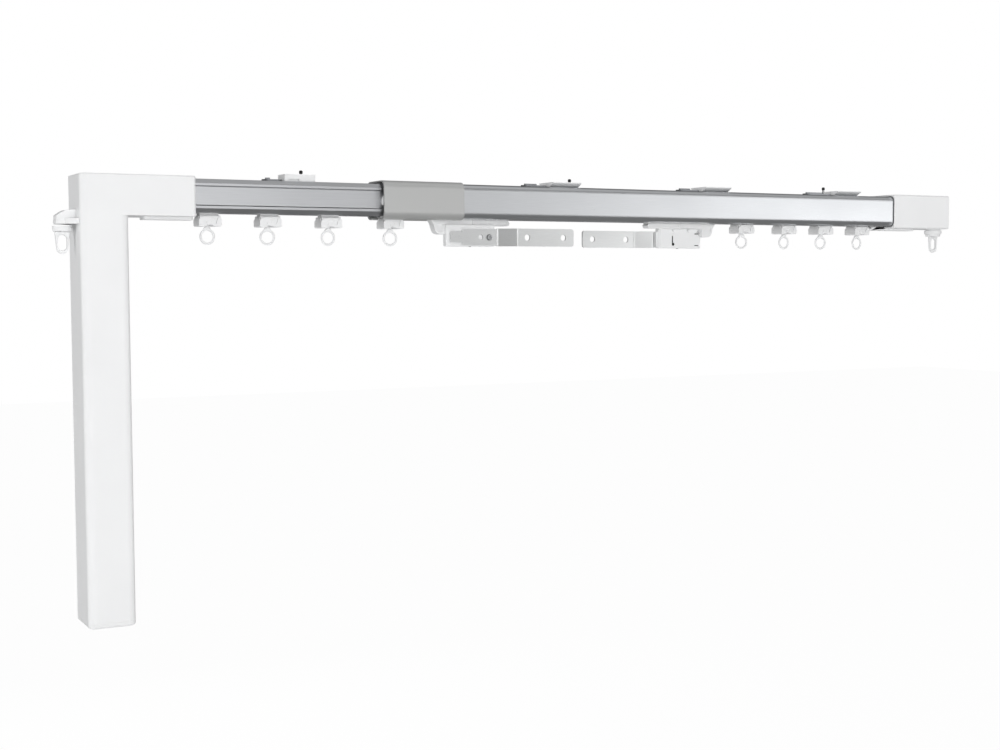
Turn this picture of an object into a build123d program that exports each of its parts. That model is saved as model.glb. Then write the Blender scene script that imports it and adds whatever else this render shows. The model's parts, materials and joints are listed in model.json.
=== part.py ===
from build123d import *
from math import pi
import os

# Telescopic electric curtain track, hung from the ceiling, curtains opening from the middle.
# Millimetres. The origin is on the ceiling plane, at the centre of the second bracket's plate.
# X runs along the rails to the right, Y away from the room, Z up.

overrun = 1.0

# Rails, across
rail_wall = 1.3
outer_rail_depth = 33.8
outer_rail_height = 29.8
outer_rail_corner = 5.4
inner_rail_depth = 27.4
inner_rail_shoulder = 3.3
inner_rail_edge = 0.8
side_groove = 0.8
side_groove_depth = 0.5
rail_slide_gap = 0.15
side_recess = 1.5
side_recess_height = 16.0
outer_slot_half = 5.0
inner_slot_half = 7.0
belt_shelf_thick = 1.0

# Slots in the tops of the rails, where the brackets hook in
outer_top_opening = 6.5
outer_top_cavity = 9.0
outer_top_cavity_height = 2.3
inner_top_opening = 12.4
inner_top_cavity = 17.0
inner_top_cavity_height = 2.7
top_slot_wall = 1.2

# Places along the rails
bracket_height = 4.5
head_right = -343.7
head_length = 90.0
rail_in_head = 18.0
inner_rail_length = 628.0
sleeve_left = -181.6
sleeve_length = 75.0
sleeve_mouth = 11.0
cap_left = 381.8
cap_length = 75.0
rail_in_cap = 5.5
inner_bracket_from_head = 91.5
third_bracket = 167.3
fourth_bracket = 327.8

# Coupling sleeve and its guide
sleeve_wall = 1.25
sleeve_side_wall = 1.6
sleeve_gap = 0.1
sleeve_corner = 6.4
sleeve_bottom_half = 8.2
guide_gap = 0.2
guide_nose = 1.5
guide_pad_height = 8.0
guide_pad_drop = 1.5
guide_lip = 1.2

# Drive housing: motor column and head in one
column_width = 37.0
column_depth = 47.0
column_corner = 6.3
head_right_corner = 3.5
housing_height = 350.6
head_height = 31.5
head_over_rail = 1.25
housing_wall = 1.8
housing_edge = 1.4
bottom_cap_height = 4.0
bottom_cap_edge = 2.4
spigot_height = 6.0
fit_gap = 0.2

# Belt and pulleys
belt_half_spacing = 9.0
belt_thick = 1.5
belt_height = 8.0
belt_top_drop = 7.8
belt_run_gap = 0.3
pulley_teeth = 20
tooth_depth = 0.9
pulley_flange = 1.0
pulley_flange_rim = 0.9
pulley_gap = 0.15
shaft_radius = 3.0
running_gap = 0.05
shaft_grip = 16.0
idler_from_cap_left = 36.0
idler_axle_radius = 2.5

# Motor and what is with it in the column
motor_radius = 15.5
motor_length = 128.0
gearbox_height = 38.0
gearbox_corner = 4.0
motor_flange_thick = 3.0
motor_drop = 12.0
board_length = 72.0
board_thick = 1.6
board_above_cap = 14.0
chip_height = 3.0
chip_side = 12.0
inlet_radius = 4.6
inlet_wall = 1.0
inlet_depth = 9.0
inlet_pin_radius = 1.0
button_radius = 3.0
button_gap = 0.1
button_recess = 0.3
button_rim = 1.0
bottom_parts_offset = 10.0

# Plates under the head and the end cap
drive_plate_length = 40.0
drive_plate_from_head_right = 38.0
under_plate_depth = 13.0
under_plate_thick = 2.5
plate_corner = 2.0
plate_screw_radius = 1.4
plate_screw_head_radius = 2.6
plate_screw_head = 1.2
plate_screw_inset = 8.0
idler_plate_length = 59.4
idler_plate_reach = 21.5
idler_plate_thick = 2.0
stop_slot_length = 9.0
stop_slot_height = 1.6
stop_slot_from_left = 9.1
stop_half = 4.4
stop_height = 2.2

# End cap
cap_depth = 36.6
cap_height = 34.0
cap_wall = 1.9
cap_edge = 1.8
cap_over_rail = 2.1
cap_mouth_gap = 0.6
cap_mouth_depth = 3.0

# Ceiling brackets
bracket_length = 30.0
bracket_depth = 25.0
inner_bracket_length = 26.4
inner_bracket_depth = 17.0
bracket_rim = 0.8
bracket_over_slot = 1.8
hook_gap = 0.2
hook_length = 10.0
hook_back = 5.0
bracket_screw_radius = 1.5
bracket_screw_out = 3.9
bracket_screw_head_radius = 2.6
bracket_screw_head = 1.3
bracket_screw_hole = 1.8
inner_screw_offset = 3.8
outer_screw_offset = 9.5
bracket_window_length = 9.0
bracket_window_height = 1.8
bracket_window_depth = 2.0
lever_lengths = {"inner": 16.5, "second": 25.0, "third": 25.0, "fourth": 33.0}
lever_width = 9.0
lever_thick = 1.4
lever_pivot_radius = 2.0
lever_lift = 0.3
lever_foot_half = 2.7
lever_pin_radius = 1.5
lever_pin_out = 3.9
lever_pin_back = 3.5

# Gliders
glider_from_head = (15.0, 65.5, 118.5, 175.0)
glider_from_cap = (178.7, 126.8, 80.6, 33.5)
glider_length = 20.0
glider_depth = 13.0
glider_height = 9.5
glider_drop = 0.6
glider_split = 2.0
glider_relief = 1.0
glider_neck_half = 4.3
glider_neck_length = 10.0
glider_head_half = 9.0
glider_head_length = 16.0
glider_head_height = 2.8
track_gap = 0.25
ring_outer = 7.0
ring_wire = 2.0
ring_stem_radius = 1.5
ring_stem_length = 5.0
ring_collar_radius = 3.2
ring_collar_height = 1.6
swivel_gap = 0.3

# Leading carriers
carrier_places = (-90.7, 127.3)
hanger_left = -41.5
hanger_right = 36.0
hanger_tip = 2.0
hanger_bar = 4.7
hanger_height = 12.5
hanger_slant = 5.0
hanger_half = 4.6
carrier_front = 7.3
carrier_thick = 6.3
carrier_height = 23.0
carrier_body_left = -28.3
carrier_body_right = 19.5
carrier_corner = 1.0
key_slot_x = 9.9
key_slot_top = 11.4
key_slot_length = 7.0
key_slot_half = 0.9
key_slot_end = 1.9
key_slot_depth = 1.2
belly_screw_x = -4.3
belly_screw_y = -5.4
belly_screw_radius = 1.1
belly_screw_length = 5.0
spine_length = 70.0
spine_half = 4.2
wheel_spacing = 52.0
wheel_radius = 4.0
wheel_inner = 4.7
wheel_outer = 9.0
axle_radius = 1.2
clamp_length = 24.0
clamp_post_half = 3.8
clamp_belt_gap = 0.25
clamp_tooth = 0.8

# Bent steel arms
arm_thick = 1.3
arm_height = 15.6
arm_over_bottom = 8.1
arm_start = -24.5
arm_bend_first = 21.5
arm_bend_second = 38.2
arm_end = 95.3
arm_step = 7.0
arm_seat_gap = 0.05
arm_corner = 2.4
arm_hole_radius = 2.75
arm_hole_from_end = 10.8
arm_hole_spacing = 36.8
arm_seat_height = 12.8
arm_tongue_height = 9.1
arm_tongue_length = 11.5
arm_window_x = 4.9
arm_window_radius = 2.3
arm_screw_x = 13.4
arm_screw_radius = 1.5
arm_screw_head_radius = 2.7
arm_screw_head = 1.4
arm_screw_length = 5.6

# End hooks
left_hook_reach = 17.5
left_hook_rise = 4.9
left_hook_half = 9.5
left_hook_flat = 8.0
left_hook_slope = 15.0
left_hook_top_drop = 1.6
left_hook_slope_drop = 5.0
left_hook_side_drop = 7.2
left_hook_height = 11.7
left_flange_half = 19.0
left_flange_height = 4.3
left_flange_thick = 2.0
left_hook_centre = 9.3
left_collar_radius = 7.5
left_collar_foot = 6.0
left_collar_height = 5.7
left_loop_top = 11.5
left_loop_low = 9.0
left_loop_height = 16.8
left_hole_width = 6.4
left_hole_height = 10.7
left_hole_drop = 2.0
right_collar_radius = 8.9
right_collar_rim = 5.0
right_collar_foot = 7.2
right_collar_height = 7.6
right_collar_inset = 10.5
right_collar_forward = 6.0
right_loop_width = 12.0
right_loop_height = 16.3
right_hole_width = 5.4
right_hole_height = 8.5
right_hole_drop = 3.0
loop_thick = 3.0
hook_edge = 1.2

# Worked out from the sizes above
outer_top = -bracket_height
outer_bottom = outer_top - outer_rail_height
outer_centre = (outer_top + outer_bottom) / 2
inner_rail_height = outer_rail_height - 2 * rail_wall - 2 * rail_slide_gap
inner_top = outer_top - rail_wall - rail_slide_gap
inner_bottom = inner_top - inner_rail_height
inner_centre = (inner_top + inner_bottom) / 2
running_top = inner_bottom + rail_wall
inner_web_inside = inner_rail_depth / 2 - side_recess - rail_wall
column_left = head_right - head_length
motor_x = column_left + column_width / 2
inner_rail_left = head_right - rail_in_head
outer_rail_left = sleeve_left + sleeve_mouth
outer_rail_right = cap_left + rail_in_cap
cap_right = cap_left + cap_length
idler_x = cap_left + idler_from_cap_left
bracket_places = {"inner": head_right + inner_bracket_from_head, "second": 0.0, "third": third_bracket,
                  "fourth": fourth_bracket}
glider_places = [head_right + d for d in glider_from_head] + [cap_left - d for d in glider_from_cap]
belt_top = inner_top - belt_top_drop
belt_bottom = belt_top - belt_height
belt_inside = belt_half_spacing - belt_thick / 2
belt_outside = belt_half_spacing + belt_thick / 2
head_top = inner_top + head_over_rail
head_bottom = head_top - head_height
column_bottom = head_top - housing_height
cap_top = outer_top + cap_over_rail
cap_bottom = cap_top - cap_height
glider_top = outer_bottom - glider_drop
glider_bottom = glider_top - glider_height
carrier_bottom = glider_top - carrier_height
arm_centre = carrier_bottom + arm_over_bottom
left_arm_top = head_bottom + left_hook_rise
left_arm_bottom = left_arm_top - left_hook_height


def block(x0, x1, y0, y1, z0, z1):
    """A box between two corners."""
    return Pos((x0 + x1) / 2, (y0 + y1) / 2, (z0 + z1) / 2) * Box(x1 - x0, y1 - y0, z1 - z0)


def along_x(section, start, length):
    """A section drawn across the rail, Y then Z, run along X."""
    return Pos(start, 0, 0) * extrude(Plane.YZ * section, amount=length)


def across(y0, y1, z0, z1):
    """A rectangle in the section plane."""
    return Pos((y0 + y1) / 2, (z0 + z1) / 2) * Rectangle(y1 - y0, z1 - z0)


def upright(radius, x, y, z0, z1):
    """A cylinder standing along Z."""
    return Pos(x, y, (z0 + z1) / 2) * Cylinder(radius, z1 - z0)


def level(radius, x, y0, y1, z):
    """A cylinder lying along Y."""
    return Pos(x, (y0 + y1) / 2, z) * Rot(90, 0, 0) * Cylinder(radius, y1 - y0)


def outer_rail():
    inside = outer_rail_corner - rail_wall
    section = Pos(0, outer_centre) * RectangleRounded(outer_rail_depth, outer_rail_height, outer_rail_corner)
    section -= Pos(0, outer_centre) * RectangleRounded(
        outer_rail_depth - 2 * rail_wall, outer_rail_height - 2 * rail_wall, inside)
    rib = outer_slot_half + rail_wall + side_recess * 0.15
    section += across(-rib, rib, outer_bottom, running_top)
    section -= across(-outer_slot_half, outer_slot_half, outer_bottom - overrun, running_top + overrun)
    channel = outer_top_cavity / 2 + top_slot_wall
    floor = outer_top - top_slot_wall - outer_top_cavity_height
    section += across(-channel, channel, floor - top_slot_wall, outer_top)
    section -= across(-outer_top_cavity / 2, outer_top_cavity / 2, floor, outer_top - top_slot_wall)
    section -= across(-outer_top_opening / 2, outer_top_opening / 2, floor, outer_top + overrun)
    return along_x(section, outer_rail_left, outer_rail_right - outer_rail_left)


def shouldered(depth, height, shoulder):
    """Rectangle with its corners cut at 45 degrees and slightly rounded."""
    outline = Rectangle(depth, height)
    outline = chamfer(outline.vertices(), shoulder)
    return Pos(0, inner_centre) * fillet(outline.vertices(), inner_rail_edge)


def inner_rail_section(grow):
    """The closed outline of the inner rail, grown by a clearance."""
    half = inner_rail_depth / 2
    outline = shouldered(inner_rail_depth + 2 * grow, inner_rail_height + 2 * grow, inner_rail_shoulder)
    for side in (-1, 1):
        y0, y1 = sorted((side * (half - side_recess + grow), side * (half + overrun)))
        band = side_recess_height / 2 - grow
        outline -= across(y0, y1, inner_centre - band, inner_centre + band)
    return outline


def inner_rail():
    section = inner_rail_section(0)
    cavity = shouldered(inner_rail_depth - 2 * rail_wall, inner_rail_height - 2 * rail_wall,
                        inner_rail_shoulder - rail_wall * 0.6)
    for side in (-1, 1):
        y0, y1 = sorted((side * inner_web_inside, side * inner_rail_depth / 2))
        band = side_recess_height / 2 + rail_wall
        cavity -= across(y0, y1, inner_centre - band, inner_centre + band)
        y0, y1 = sorted((side * (belt_inside - belt_run_gap), side * inner_web_inside))
        shelf = belt_bottom - belt_run_gap
        cavity -= across(y0, y1, shelf - belt_shelf_thick, shelf)
    section -= cavity
    # a thin groove along each edge of the side recess
    bottom_of_recess = inner_rail_depth / 2 - side_recess
    for side in (-1, 1):
        y0, y1 = sorted((side * (bottom_of_recess - side_groove_depth), side * inner_rail_depth / 2))
        for z in (inner_centre - side_recess_height / 2, inner_centre + side_recess_height / 2 - side_groove):
            section -= across(y0, y1, z, z + side_groove)
    channel = inner_top_cavity / 2 + top_slot_wall
    floor = inner_top - top_slot_wall - inner_top_cavity_height
    section += across(-channel, channel, floor - top_slot_wall, inner_top)
    section -= across(-inner_top_cavity / 2, inner_top_cavity / 2, floor, inner_top - top_slot_wall)
    section -= across(-inner_top_opening / 2, inner_top_opening / 2, floor, inner_top + overrun)
    section -= across(-inner_slot_half, inner_slot_half, inner_bottom - overrun, running_top + overrun)
    return along_x(section, inner_rail_left, inner_rail_length)


def sleeve_space():
    """The room inside the coupling sleeve, as a section."""
    return Pos(0, outer_centre) * RectangleRounded(
        outer_rail_depth + 2 * sleeve_gap, outer_rail_height + 2 * sleeve_gap, outer_rail_corner)


def coupling_sleeve():
    depth = outer_rail_depth + 2 * sleeve_gap + 2 * sleeve_side_wall
    height = outer_rail_height + 2 * sleeve_gap + 2 * sleeve_wall
    section = Pos(0, outer_centre) * RectangleRounded(depth, height, sleeve_corner)
    section -= sleeve_space()
    section -= across(-sleeve_bottom_half, sleeve_bottom_half, outer_bottom - height, outer_bottom + overrun)
    return along_x(section, sleeve_left, sleeve_length)


def sleeve_guide():
    """White insert that fills the sleeve's mouth, with a rounded nose in each side recess."""
    section = Pos(0, outer_centre) * RectangleRounded(
        outer_rail_depth, outer_rail_height, outer_rail_corner)
    section -= inner_rail_section(guide_gap)
    section -= across(-sleeve_bottom_half, sleeve_bottom_half, outer_bottom - overrun, inner_centre)
    guide = along_x(section, sleeve_left + guide_lip, sleeve_mouth - guide_lip)
    radius = guide_pad_height / 2
    for side in (-1, 1):
        near = inner_rail_depth / 2 - side_recess + guide_gap
        y0, y1 = sorted((side * near, side * (near + side_recess)))
        nose = level(radius, 0, y0, y1, 0)
        nose &= block(-radius, 0, y0, y1, -radius, radius)
        squeeze = guide_nose / radius
        start, middle = sleeve_left + guide_lip, inner_centre - guide_pad_drop
        nose = Pos(start, 0, middle) * scale(nose, (squeeze, 1, 1))
        bar = block(start, sleeve_left + sleeve_mouth, y0, y1, middle - radius, middle + radius)
        guide += nose + bar
    return guide


def housing_plan(inset):
    """Plan of the head, from its left end to the rail's end."""
    corner = column_corner - inset
    right = head_right_corner
    half = column_depth / 2 - inset
    left = column_left + inset
    end = head_right - inset
    plan = Pos((left + end) / 2, 0) * Rectangle(end - left, 2 * half)
    ends = plan.vertices().sort_by(Axis.X)
    plan = fillet(ends[:2], corner)
    ends = plan.vertices().sort_by(Axis.X)
    return fillet(ends[-2:], max(right - inset, right / 4))


def column_plan(inset):
    return Pos(motor_x, 0) * RectangleRounded(
        column_width - 2 * inset, column_depth - 2 * inset, column_corner - inset)


def drive_housing():
    head = Pos(0, 0, head_bottom) * extrude(housing_plan(0), amount=head_height)
    column = Pos(0, 0, column_bottom + bottom_cap_height) * extrude(
        column_plan(0), amount=housing_height - bottom_cap_height)
    shell = head + column
    top = shell.faces().sort_by(Axis.Z)[-1]
    shell = fillet(top.edges(), housing_edge)
    room = Pos(0, 0, head_bottom + housing_wall) * extrude(
        housing_plan(housing_wall), amount=head_height - 2 * housing_wall)
    room += Pos(0, 0, column_bottom) * extrude(
        column_plan(housing_wall), amount=housing_height - housing_wall * 2)
    shell -= room
    socket = shouldered(inner_rail_depth + 2 * fit_gap, inner_rail_height + 2 * fit_gap, inner_rail_shoulder)
    shell -= along_x(socket, inner_rail_left - overrun, rail_in_head + 2 * overrun)
    return shell


def bottom_cap():
    cap = Pos(0, 0, column_bottom) * extrude(column_plan(0), amount=bottom_cap_height)
    cap = fillet(cap.faces().sort_by(Axis.Z)[0].edges(), bottom_cap_edge)
    spigot = extrude(column_plan(housing_wall + fit_gap), amount=bottom_cap_height + spigot_height)
    spigot -= extrude(column_plan(2 * housing_wall + fit_gap), amount=bottom_cap_height + spigot_height)
    room = spigot_height + bottom_cap_height
    spigot = Pos(0, 0, column_bottom) * (spigot & block(
        column_left, column_left + column_width, -column_depth, column_depth, housing_wall, room))
    cap += spigot
    cap -= upright(inlet_radius + fit_gap, motor_x, bottom_parts_offset, column_bottom - overrun,
                   column_bottom + room)
    cap -= upright(button_radius + button_gap, motor_x, -bottom_parts_offset, column_bottom - overrun,
                   column_bottom + room)
    return cap


def power_inlet():
    """Round socket for the supply plug, with its centre pin."""
    cup = upright(inlet_radius, motor_x, bottom_parts_offset, column_bottom, column_bottom + inlet_depth)
    cup += upright(inlet_radius + inlet_wall, motor_x, bottom_parts_offset,
                   column_bottom + bottom_cap_height, column_bottom + bottom_cap_height + inlet_wall)
    cup -= upright(inlet_radius - inlet_wall, motor_x, bottom_parts_offset, column_bottom - overrun,
                   column_bottom + inlet_depth - inlet_wall)
    cup += upright(inlet_pin_radius, motor_x, bottom_parts_offset, column_bottom + inlet_wall,
                   column_bottom + inlet_depth)
    return cup


def setting_button():
    low = column_bottom + button_recess
    high = column_bottom + bottom_cap_height + button_gap
    button = upright(button_radius, motor_x, -bottom_parts_offset, low, high)
    button += upright(button_radius + button_rim, motor_x, -bottom_parts_offset, high, high + button_rim)
    return button


def gearmotor():
    top = inner_bottom - motor_drop
    flange = Pos(0, 0, top) * extrude(column_plan(housing_wall + fit_gap), amount=motor_flange_thick)
    side = column_width - 2 * (housing_wall + motor_flange_thick)
    gearbox = Pos(motor_x, 0, top - gearbox_height) * extrude(
        RectangleRounded(side, side + motor_flange_thick, gearbox_corner), amount=gearbox_height)
    can = upright(min(motor_radius, side / 2), motor_x, 0, top - motor_length, top - gearbox_height)
    tail = upright(min(motor_radius, side / 2) * 0.6, motor_x, 0, top - motor_length - motor_flange_thick,
                   top - motor_length)
    motor = flange + gearbox + can + tail
    boss = upright(shaft_radius + 2 * housing_wall, motor_x, 0, top, top + 2 * motor_flange_thick)
    motor += boss
    motor -= upright(shaft_radius + running_gap, motor_x, 0, top + motor_flange_thick - shaft_grip,
                     top + overrun + 2 * motor_flange_thick)
    return motor


def control_board():
    low = column_bottom + bottom_cap_height + spigot_height + board_above_cap
    half = column_width / 2 - housing_wall - fit_gap
    y0 = -board_thick / 2
    board = block(motor_x - half, motor_x + half, y0, y0 + board_thick, low, low + board_length)
    chip_shares = ((-0.4, 0.25, 1.0), (0.35, 0.5, 1.3), (-0.3, 0.75, 0.8))
    for share_x, share_z, share_side in chip_shares:
        side = chip_side * share_side / 2
        x, z = motor_x + share_x * half, low + share_z * board_length
        board += block(x - side, x + side, y0 - chip_height, y0, z - side, z + side)
    return board


def toothed_wheel(x, low, high, shaft):
    """Belt pulley with rims above and below, and shallow grooves for the belt's teeth."""
    radius = belt_inside - pulley_gap
    wheel = upright(radius, x, 0, low, high)
    groove_half = pi * radius / pulley_teeth / 2
    groove = block(radius - tooth_depth, radius + overrun, -groove_half, groove_half, low, high)
    for index in range(pulley_teeth):
        wheel -= Pos(x, 0, 0) * Rot(0, 0, 360 * index / pulley_teeth) * groove
    rim = belt_outside + pulley_flange_rim
    wheel += upright(rim, x, 0, low - pulley_flange, low)
    wheel += upright(rim, x, 0, high, high + pulley_flange)
    return wheel


def drive_pulley():
    low, high = belt_bottom - pulley_gap, belt_top + pulley_gap
    wheel = toothed_wheel(motor_x, low, high, shaft_radius)
    foot = inner_bottom - motor_drop + motor_flange_thick - shaft_grip + fit_gap
    return wheel + upright(shaft_radius, motor_x, 0, foot, high)


def idler_pulley():
    low, high = belt_bottom - pulley_gap, belt_top + pulley_gap
    wheel = toothed_wheel(idler_x, low, high, idler_axle_radius)
    return wheel - upright(idler_axle_radius + running_gap, idler_x, 0, low - overrun - pulley_flange,
                           high + overrun + pulley_flange)


def idler_axle():
    axle = upright(idler_axle_radius, idler_x, 0, cap_bottom + cap_wall, cap_top - cap_wall)
    spacer = 2 * idler_axle_radius
    low = belt_bottom - pulley_gap - pulley_flange - swivel_gap
    high = belt_top + pulley_gap + pulley_flange + swivel_gap
    axle += upright(spacer, idler_x, 0, cap_bottom + cap_wall, low)
    return axle + upright(spacer, idler_x, 0, high, cap_top - cap_wall)


def drive_belt():
    """One closed loop round both pulleys, standing on edge."""
    middle = (motor_x + idler_x) / 2
    length = idler_x - motor_x
    loop = SlotCenterToCenter(length, 2 * belt_outside) - SlotCenterToCenter(length, 2 * belt_inside)
    return Pos(middle, 0, belt_bottom) * extrude(loop, amount=belt_height)


def drive_plate():
    left = head_right - drive_plate_from_head_right
    plan = Pos(left + drive_plate_length / 2, 0) * RectangleRounded(
        drive_plate_length, under_plate_depth, plate_corner)
    plate = Pos(0, 0, head_bottom - under_plate_thick) * extrude(plan, amount=under_plate_thick)
    places = (left + plate_screw_inset, left + drive_plate_length - plate_screw_inset)
    for x in places:
        plate -= upright(plate_screw_head_radius, x, 0, head_bottom - under_plate_thick - overrun,
                         head_bottom - under_plate_thick + plate_screw_head)
        plate -= upright(plate_screw_radius, x, 0, head_bottom - under_plate_thick, head_bottom + overrun)
    return plate


def idler_plate():
    """Plate under the end cap that also stops the last glider."""
    left = cap_left - idler_plate_reach
    right = left + idler_plate_length
    low = cap_bottom - idler_plate_thick
    deep = under_plate_depth / 2
    plan = Pos((left + right) / 2, 0) * RectangleRounded(idler_plate_length, under_plate_depth, plate_corner)
    plate = Pos(0, 0, low) * extrude(plan, amount=idler_plate_thick)
    root = outer_bottom - glider_drop
    plate += block(left + plate_corner, cap_left - fit_gap, -deep, deep, low, root)
    plate += block(left + plate_corner, cap_left - fit_gap - plate_corner, -stop_half, stop_half, low,
                   root + stop_height)
    slot = left + stop_slot_from_left
    middle = (root + cap_bottom - idler_plate_thick / 2) / 2
    plate -= block(slot, slot + stop_slot_length, -deep - overrun, -deep + plate_corner * 0.75,
                   middle - stop_slot_height / 2, middle + stop_slot_height / 2)
    return plate


def end_cap():
    section = Pos(0, (cap_top + cap_bottom) / 2) * RectangleRounded(cap_depth, cap_height, cap_edge)
    cap = along_x(section, cap_left, cap_length)
    cap = fillet(cap.faces().sort_by(Axis.X)[-1].edges(), cap_edge / 2)
    socket = Pos(0, outer_centre) * RectangleRounded(
        outer_rail_depth + 2 * sleeve_gap, outer_rail_height + 2 * sleeve_gap, outer_rail_corner)
    cap -= along_x(socket, cap_left - overrun, rail_in_cap + overrun)
    mouth = Pos(0, outer_centre) * RectangleRounded(
        outer_rail_depth + 2 * cap_mouth_gap, outer_rail_height + 2 * cap_mouth_gap, outer_rail_corner)
    cap -= along_x(mouth, cap_left - overrun, cap_mouth_depth + overrun)
    half = cap_depth / 2 - cap_wall - rail_wall
    cap -= block(cap_left + rail_in_cap - overrun, cap_right - cap_wall, -half, half, cap_bottom + cap_wall,
                 cap_top - cap_wall)
    return cap


def bracket_solid(x, length, depth, screw, rail_top, opening, cavity, cavity_height):
    """Block under the ceiling that narrows to the rail, with a hook in the rail's top slot."""
    half, deep = length / 2, depth / 2
    base = opening / 2 + bracket_over_slot
    profile = Polyline((-deep, 0), (deep, 0), (deep, -bracket_rim), (base, rail_top), (-base, rail_top),
                       (-deep, -bracket_rim), close=True)
    plate = along_x(make_face(profile), -half, length)
    neck = opening / 2 - hook_gap
    floor = rail_top - top_slot_wall - cavity_height
    reach = cavity / 2 - hook_gap
    # the hook keeps clear of the circle that the lever's foot turns in
    left = max(lever_pivot(-half) + reach + swivel_gap, -hook_back - hook_length / 2)
    right = -hook_back + hook_length / 2
    plate += block(left, right, -neck, neck, floor + hook_gap, rail_top)
    plate += block(left, right, -reach, reach, floor + hook_gap, rail_top - top_slot_wall - hook_gap)
    plate -= upright(bracket_screw_hole, screw, 0, rail_top - overrun, overrun)
    plate -= upright(bracket_screw_head_radius + hook_gap, screw, 0, rail_top - overrun,
                     rail_top + bracket_screw_head)
    return Pos(x, 0, 0) * plate


def bracket_window(x, rail_top):
    """Slot low on the front of the inner bracket."""
    low = rail_top + hook_gap
    return block(x - hook_back - bracket_window_length / 2, x - hook_back + bracket_window_length / 2,
                 -bracket_depth, -inner_top_opening / 2 - bracket_over_slot + bracket_window_depth, low,
                 low + bracket_window_height)


def bracket_screw(x, rail_top):
    """Screw up into the ceiling, its head inside the bracket's foot."""
    low = rail_top + hook_gap
    screw = upright(bracket_screw_head_radius, x, 0, low, rail_top + bracket_screw_head)
    screw += upright(bracket_screw_radius, x, 0, low, bracket_screw_out)
    return chamfer(screw.edges().sort_by(Axis.Z)[-1], bracket_screw_radius / 2)


def lever_pivot(bracket_left):
    """Where the lever left of a bracket turns."""
    return bracket_left - swivel_gap - lever_width / 2


def cam_lever(bracket_left, length, rail_top, cavity, cavity_height):
    """Flat locking lever left of its bracket, with a foot that turns in the rail's top slot."""
    low = rail_top + lever_lift
    pivot = lever_pivot(bracket_left)
    plan = Pos(pivot + lever_width / 2 - length / 2, 0) * SlotOverall(length, lever_width)
    lever = Pos(0, 0, low) * extrude(plan, amount=lever_thick)
    rib = lever_thick / 2
    tip = pivot + lever_width / 2 - length
    rib_end = pivot - lever_pin_back - lever_pin_radius - hook_gap
    lever += block(tip + lever_width / 3, rib_end, -rib, rib, low, low + 2 * lever_thick)
    under = rail_top - top_slot_wall - hook_gap
    floor = rail_top - top_slot_wall - cavity_height + hook_gap
    lever += upright(lever_pivot_radius, pivot, 0, floor, low)
    foot = upright(cavity / 2 - hook_gap, pivot, 0, floor, under)
    lever += foot & block(pivot - lever_foot_half, pivot + lever_foot_half, -cavity, cavity, floor, under)
    return lever


def lever_pin(bracket_left):
    """Pin that stands on the last bracket's lever, close to its pivot."""
    x = lever_pivot(bracket_left) - lever_pin_back
    pin = upright(lever_pin_radius, x, 0, outer_top + lever_lift + lever_thick, lever_pin_out)
    return chamfer(pin.edges().sort_by(Axis.Z)[-1], lever_pin_radius / 2)


def glider_body(x):
    half, deep = glider_length / 2, glider_depth / 2
    body = block(-half, half, -deep, deep, glider_bottom, glider_top)
    body = fillet(body.edges().filter_by(Axis.Y), glider_split)
    # two lobes on each face, parted by a groove over the ring
    for side in (-1, 1):
        y0, y1 = sorted((side * (deep - glider_relief), side * (deep + overrun)))
        middle = half * 0.1
        notch = Polyline((middle - glider_split, 0), (middle + glider_split, 0),
                         (middle, glider_height * 0.6), close=True)
        cut = extrude(Plane.XZ * make_face(notch), amount=overrun + glider_relief, both=True)
        body -= Pos(0, (y0 + y1) / 2, glider_bottom) * cut
        body -= block(-half - overrun, half + overrun, y0, y1, glider_top - glider_split,
                      glider_top + overrun)
    body += block(-glider_neck_length / 2, glider_neck_length / 2, -glider_neck_half, glider_neck_half,
                  glider_top, running_top + track_gap)
    head = block(-glider_head_length / 2, glider_head_length / 2, -glider_head_half, glider_head_half,
                 running_top + track_gap, running_top + track_gap + glider_head_height)
    body += fillet(head.edges().filter_by(Axis.Z), glider_split)
    body -= upright(ring_stem_radius + running_gap, 0, 0, glider_bottom - overrun,
                    glider_bottom + ring_stem_length + hook_gap)
    return Pos(x, 0, 0) * body


def glider_ring(x):
    """Eyelet that swivels under the glider."""
    top = glider_bottom - swivel_gap
    centre = top - ring_collar_height * 0.4 - ring_outer
    tube = level(ring_outer, 0, -ring_wire / 2, ring_wire / 2, centre)
    tube = chamfer(tube.edges(), ring_wire * 0.25)
    tube += upright(ring_collar_radius, 0, 0, top - ring_collar_height, top)
    reach = ring_collar_radius + overrun
    tube -= level(ring_outer - ring_wire, 0, -reach, reach, centre)
    tube += upright(ring_stem_radius, 0, 0, top, glider_bottom + ring_stem_length)
    return Pos(x, 0, 0) * tube


def wheel_axle_height():
    return running_top + wheel_radius + running_gap


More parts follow.
